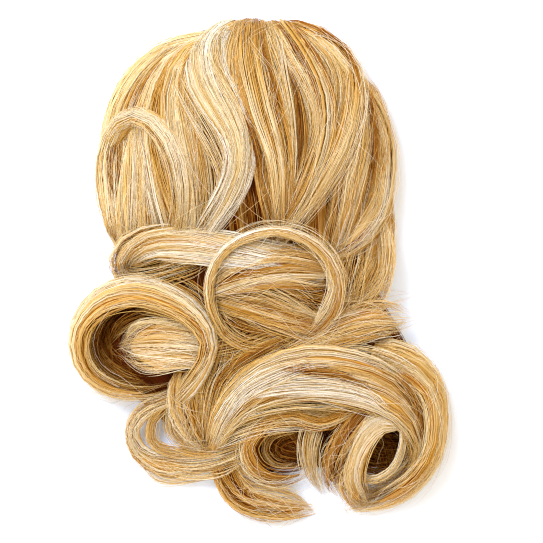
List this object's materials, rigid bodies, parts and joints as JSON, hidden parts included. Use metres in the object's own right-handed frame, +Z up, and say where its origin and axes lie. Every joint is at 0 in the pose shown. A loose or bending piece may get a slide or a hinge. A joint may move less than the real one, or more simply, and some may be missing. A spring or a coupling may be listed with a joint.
{
  "type": "claw clip ponytail",
  "caption": "Wavy false-hair ponytail on a hidden claw clip: a smooth crown of hair over the clip, with the ends in loose rolls and barrel curls, lying clip side down.",
  "frame": {"origin": "middle of the footprint, on the surface that the hairpiece lies on", "axes": "+Y towards the root end of the crown, +X to the right seen from above, +Z up"},
  "size_m": [0.1891, 0.2497, 0.0628],
  "materials": {
    "clip_plastic": "plain moulded brown plastic, semi-matt",
    "hair_gold": "synthetic fibre, highlighted golden blonde, soft shine",
    "hair_pale": "synthetic fibre, pale blonde highlights, soft shine",
    "hair_copper": "synthetic fibre, copper brown lowlights, soft shine",
    "hair_deep": "synthetic fibre, honey brown inner hair"
  },
  "bodies": {
    "root": {"claw_clip": "clip_plastic", "crown_shell": "hair_deep", "under_hair": "hair_deep", "crown_left_outer": "hair_gold", "crown_left_mid": "hair_gold", "crown_right_mid": "hair_gold", "right_side": "hair_gold", "crown_right_outer": "hair_gold", "crown_center": "hair_gold", "crown_center_right": "hair_gold", "light_swoop": "hair_pale", "right_swoop": "hair_pale", "left_loop_inner": "hair_pale", "left_loop": "hair_gold", "lower_left_loop": "hair_gold", "bottom_tail": "hair_gold", "left_barrel": "hair_gold", "left_barrel_inner": "hair_pale", "center_fan": "hair_gold", "cross_strands": "hair_gold", "right_diagonal": "hair_gold", "small_curl": "hair_gold", "copper_lock": "hair_copper", "spiral_outer": "hair_gold", "spiral_inner": "hair_pale", "lower_sweep": "hair_gold", "ring_lower": "hair_gold", "left_roll": "hair_gold", "ring_upper": "hair_gold", "ring_curl": "hair_gold"}
  },
  "joints": []
}
